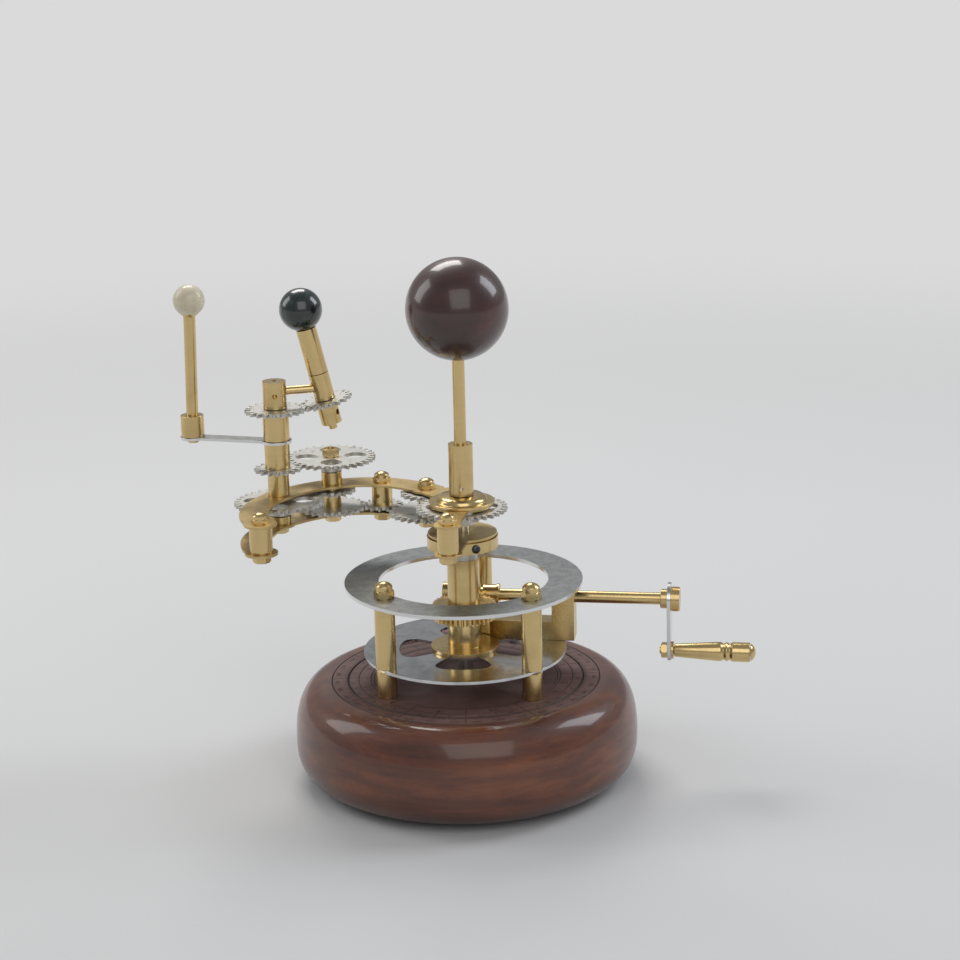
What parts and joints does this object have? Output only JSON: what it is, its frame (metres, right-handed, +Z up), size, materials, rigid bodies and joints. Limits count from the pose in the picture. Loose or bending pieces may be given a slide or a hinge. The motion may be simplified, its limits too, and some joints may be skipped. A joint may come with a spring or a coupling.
{
  "type": "hand-cranked orrery",
  "caption": "Table-top tellurion on a round turned wooden base; a side crank drives a geared arm that carries Earth and Moon balls round a central Sun ball",
  "frame": {"origin": "centre of the flat underside of the base felt, on the axis of the turning column", "axes": "+Z up along the column to the Sun ball; +Y points away from the front, where the viewer stands; +X to the viewer's right, the side of the crank"},
  "size_m": [0.2272, 0.1364, 0.2097],
  "materials": {
    "mahogany": "glossy varnish",
    "felt": "wool felt",
    "dark_mahogany": "polished lacquer",
    "brass": "polished brass with turning marks",
    "steel": "satin steel",
    "polished_steel": "polished steel",
    "gear_steel": "stamped satin steel",
    "dark_steel": "blackened steel",
    "green_stone": "polished dark stone",
    "ivory": "smooth cream bead"
  },
  "bodies": {
    "stand": {"base": "mahogany", "base_felt": "felt", "spindle": "polished_steel", "spindle_fastener": "steel", "lower_plate": "polished_steel", "pillars": "brass", "pillar_studs": "steel", "upper_ring": "steel", "pillar_nuts": "brass", "lower_bearing": "brass", "crank_bracket": "brass", "bracket_screws": "steel", "centre_gear": "gear_steel", "centre_gear_screw": "brass", "sun_sleeve": "brass", "sun_stem": "brass", "sun_ball": "dark_mahogany"},
    "arm": {"column_tube": "brass", "thrust_collar": "polished_steel", "worm_wheel": "brass", "hub_disc": "brass", "hub_disc_screw": "dark_steel", "arm_lower_plate": "brass", "arm_upper_plate": "brass", "arm_flange": "brass", "arm_spacers": "brass", "arm_studs": "steel", "arm_dome_nuts": "brass", "arm_hex_nuts": "brass", "arm_bushes": "brass"},
    "first_idler": {"first_idler_gears": "gear_steel", "first_idler_sleeve": "brass"},
    "second_idler": {"second_idler_gear": "gear_steel", "second_idler_collar": "brass"},
    "third_idler": {"third_idler_arbor": "brass", "third_idler_gears": "gear_steel", "third_idler_nuts": "brass", "moon_drive_gear": "gear_steel"},
    "earth_carrier": {"earth_shaft": "brass", "earth_gear": "gear_steel", "earth_cap": "brass", "earth_rod": "brass", "earth_sleeve": "brass"},
    "moon_carrier": {"moon_pinion": "gear_steel", "moon_tubes": "brass", "moon_arm": "steel", "earth_wheel": "gear_steel", "moon_post": "brass", "moon_ball": "ivory"},
    "earth": {"spin_shaft": "brass", "earth_stem": "brass", "tilted_gear": "gear_steel", "earth_ball": "green_stone"},
    "crank": {"crank_shaft": "brass", "worm": "brass", "crank_collars": "brass", "crank_arm": "steel", "crank_nuts": "brass", "handle_pin": "steel"},
    "handle": {"crank_handle": "brass"}
  },
  "joints": [
    {"name": "arm_turn", "type": "hinge", "parent": "stand", "child": "arm", "pos_m": [0, 0, 0.0654], "axis": [0, 0, 1], "continuous": true},
    {"name": "first_idler_turn", "type": "hinge", "parent": "arm", "child": "first_idler", "pos_m": [-0.01408, 0.02245, 0.106], "axis": [0, 0, 1], "continuous": true},
    {"name": "second_idler_turn", "type": "hinge", "parent": "arm", "child": "second_idler", "pos_m": [-0.03239, 0.03416, 0.106], "axis": [0, 0, 1], "continuous": true},
    {"name": "third_idler_turn", "type": "hinge", "parent": "arm", "child": "third_idler", "pos_m": [-0.05249, 0.03296, 0.106], "axis": [0, 0, 1], "continuous": true},
    {"name": "earth_carrier_turn", "type": "hinge", "parent": "arm", "child": "earth_carrier", "pos_m": [-0.07268, 0.01747, 0.11], "axis": [0, 0, 1], "continuous": true},
    {"name": "moon_carrier_turn", "type": "hinge", "parent": "arm", "child": "moon_carrier", "pos_m": [-0.07268, 0.01747, 0.13], "axis": [0, 0, 1], "continuous": true},
    {"name": "earth_turn", "type": "hinge", "parent": "earth_carrier", "child": "earth", "pos_m": [-0.05295, 0.02276, 0.1495], "axis": [-0.2173, -0.0582, 0.9744], "continuous": true},
    {"name": "crank_turn", "type": "hinge", "parent": "stand", "child": "crank", "pos_m": [0.00241, 0.01541, 0.0702], "axis": [0.988, -0.1547, 0], "continuous": true},
    {"name": "handle_turn", "type": "hinge", "parent": "crank", "child": "handle", "pos_m": [0.09133, 0.00149, 0.0487], "axis": [0.988, -0.1547, 0], "continuous": true}
  ],
  "couplings": [
    {"joint": "first_idler_turn", "follows": "arm_turn", "ratio": 1.7778},
    {"joint": "second_idler_turn", "follows": "arm_turn", "ratio": -3.4286},
    {"joint": "third_idler_turn", "follows": "arm_turn", "ratio": 2},
    {"joint": "earth_carrier_turn", "follows": "arm_turn", "ratio": -1},
    {"joint": "moon_carrier_turn", "follows": "arm_turn", "ratio": -4},
    {"joint": "earth_turn", "follows": "arm_turn", "ratio": 3.5},
    {"joint": "crank_turn", "follows": "arm_turn", "ratio": 34}
  ]
}
